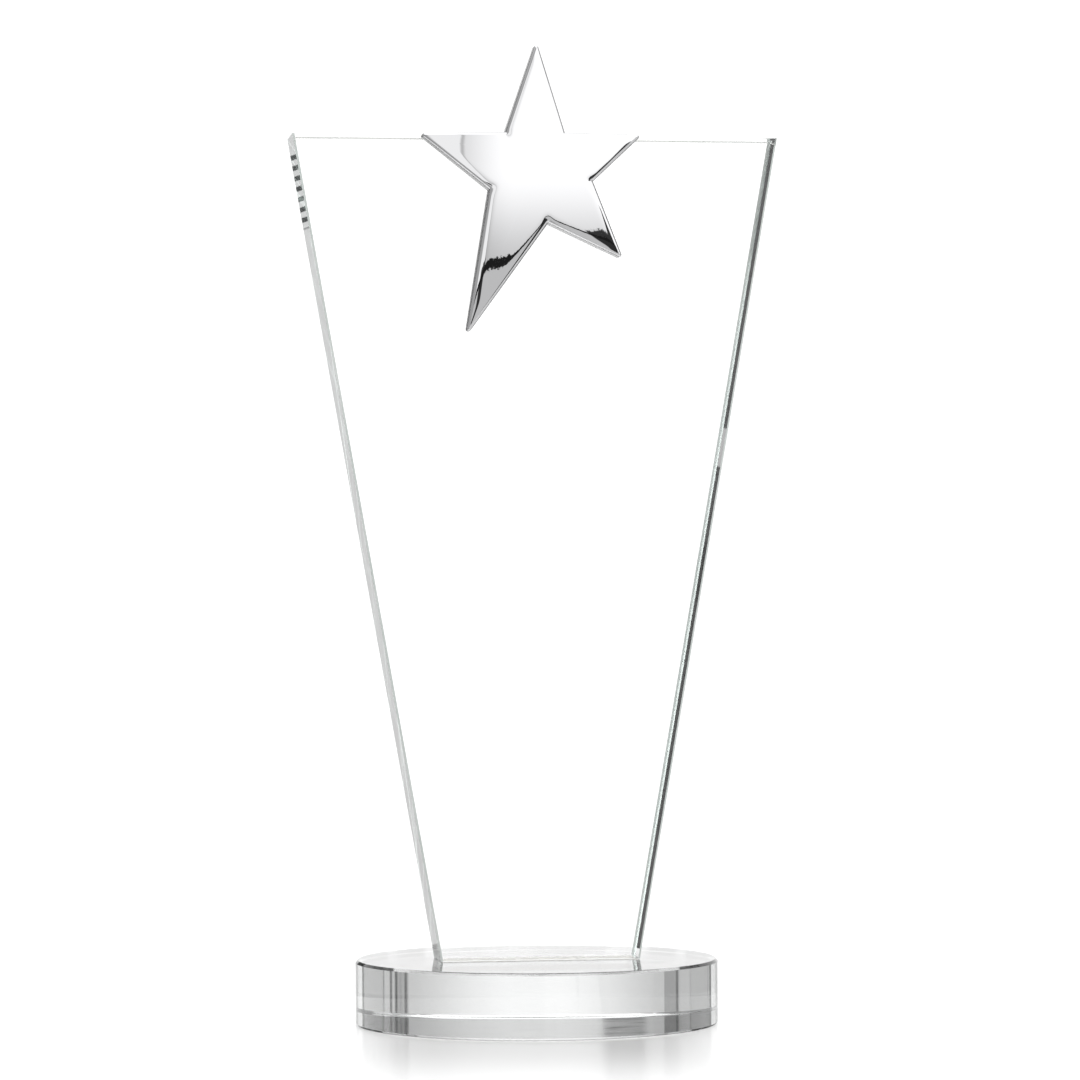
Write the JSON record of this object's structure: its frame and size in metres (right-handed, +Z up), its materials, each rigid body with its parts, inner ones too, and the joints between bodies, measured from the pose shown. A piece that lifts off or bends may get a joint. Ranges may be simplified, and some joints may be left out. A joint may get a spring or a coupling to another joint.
{
  "type": "star trophy",
  "caption": "Standing award: a clear crystal plate, wider at the top, on a round crystal base, with a mirror-bright metal star bonded across its top edge.",
  "frame": {"origin": "middle of the round base's underside, where the trophy stands on a table", "axes": "+Z up, -Y the front that carries the star, +X to the right of a person who faces the front"},
  "size_m": [0.148, 0.11, 0.2953],
  "materials": {
    "crystal_base": "polished clear optical crystal",
    "foot_bond": "clear cured adhesive",
    "crystal_plate": "polished clear optical crystal",
    "star_bond": "clear adhesive sheet",
    "star": "mirror-polished bright plating on a casting"
  },
  "bodies": {
    "root": {"crystal_base": "crystal_base", "foot_bond": "foot_bond", "crystal_plate": "crystal_plate", "star_bond": "star_bond", "star": "star"}
  },
  "joints": []
}
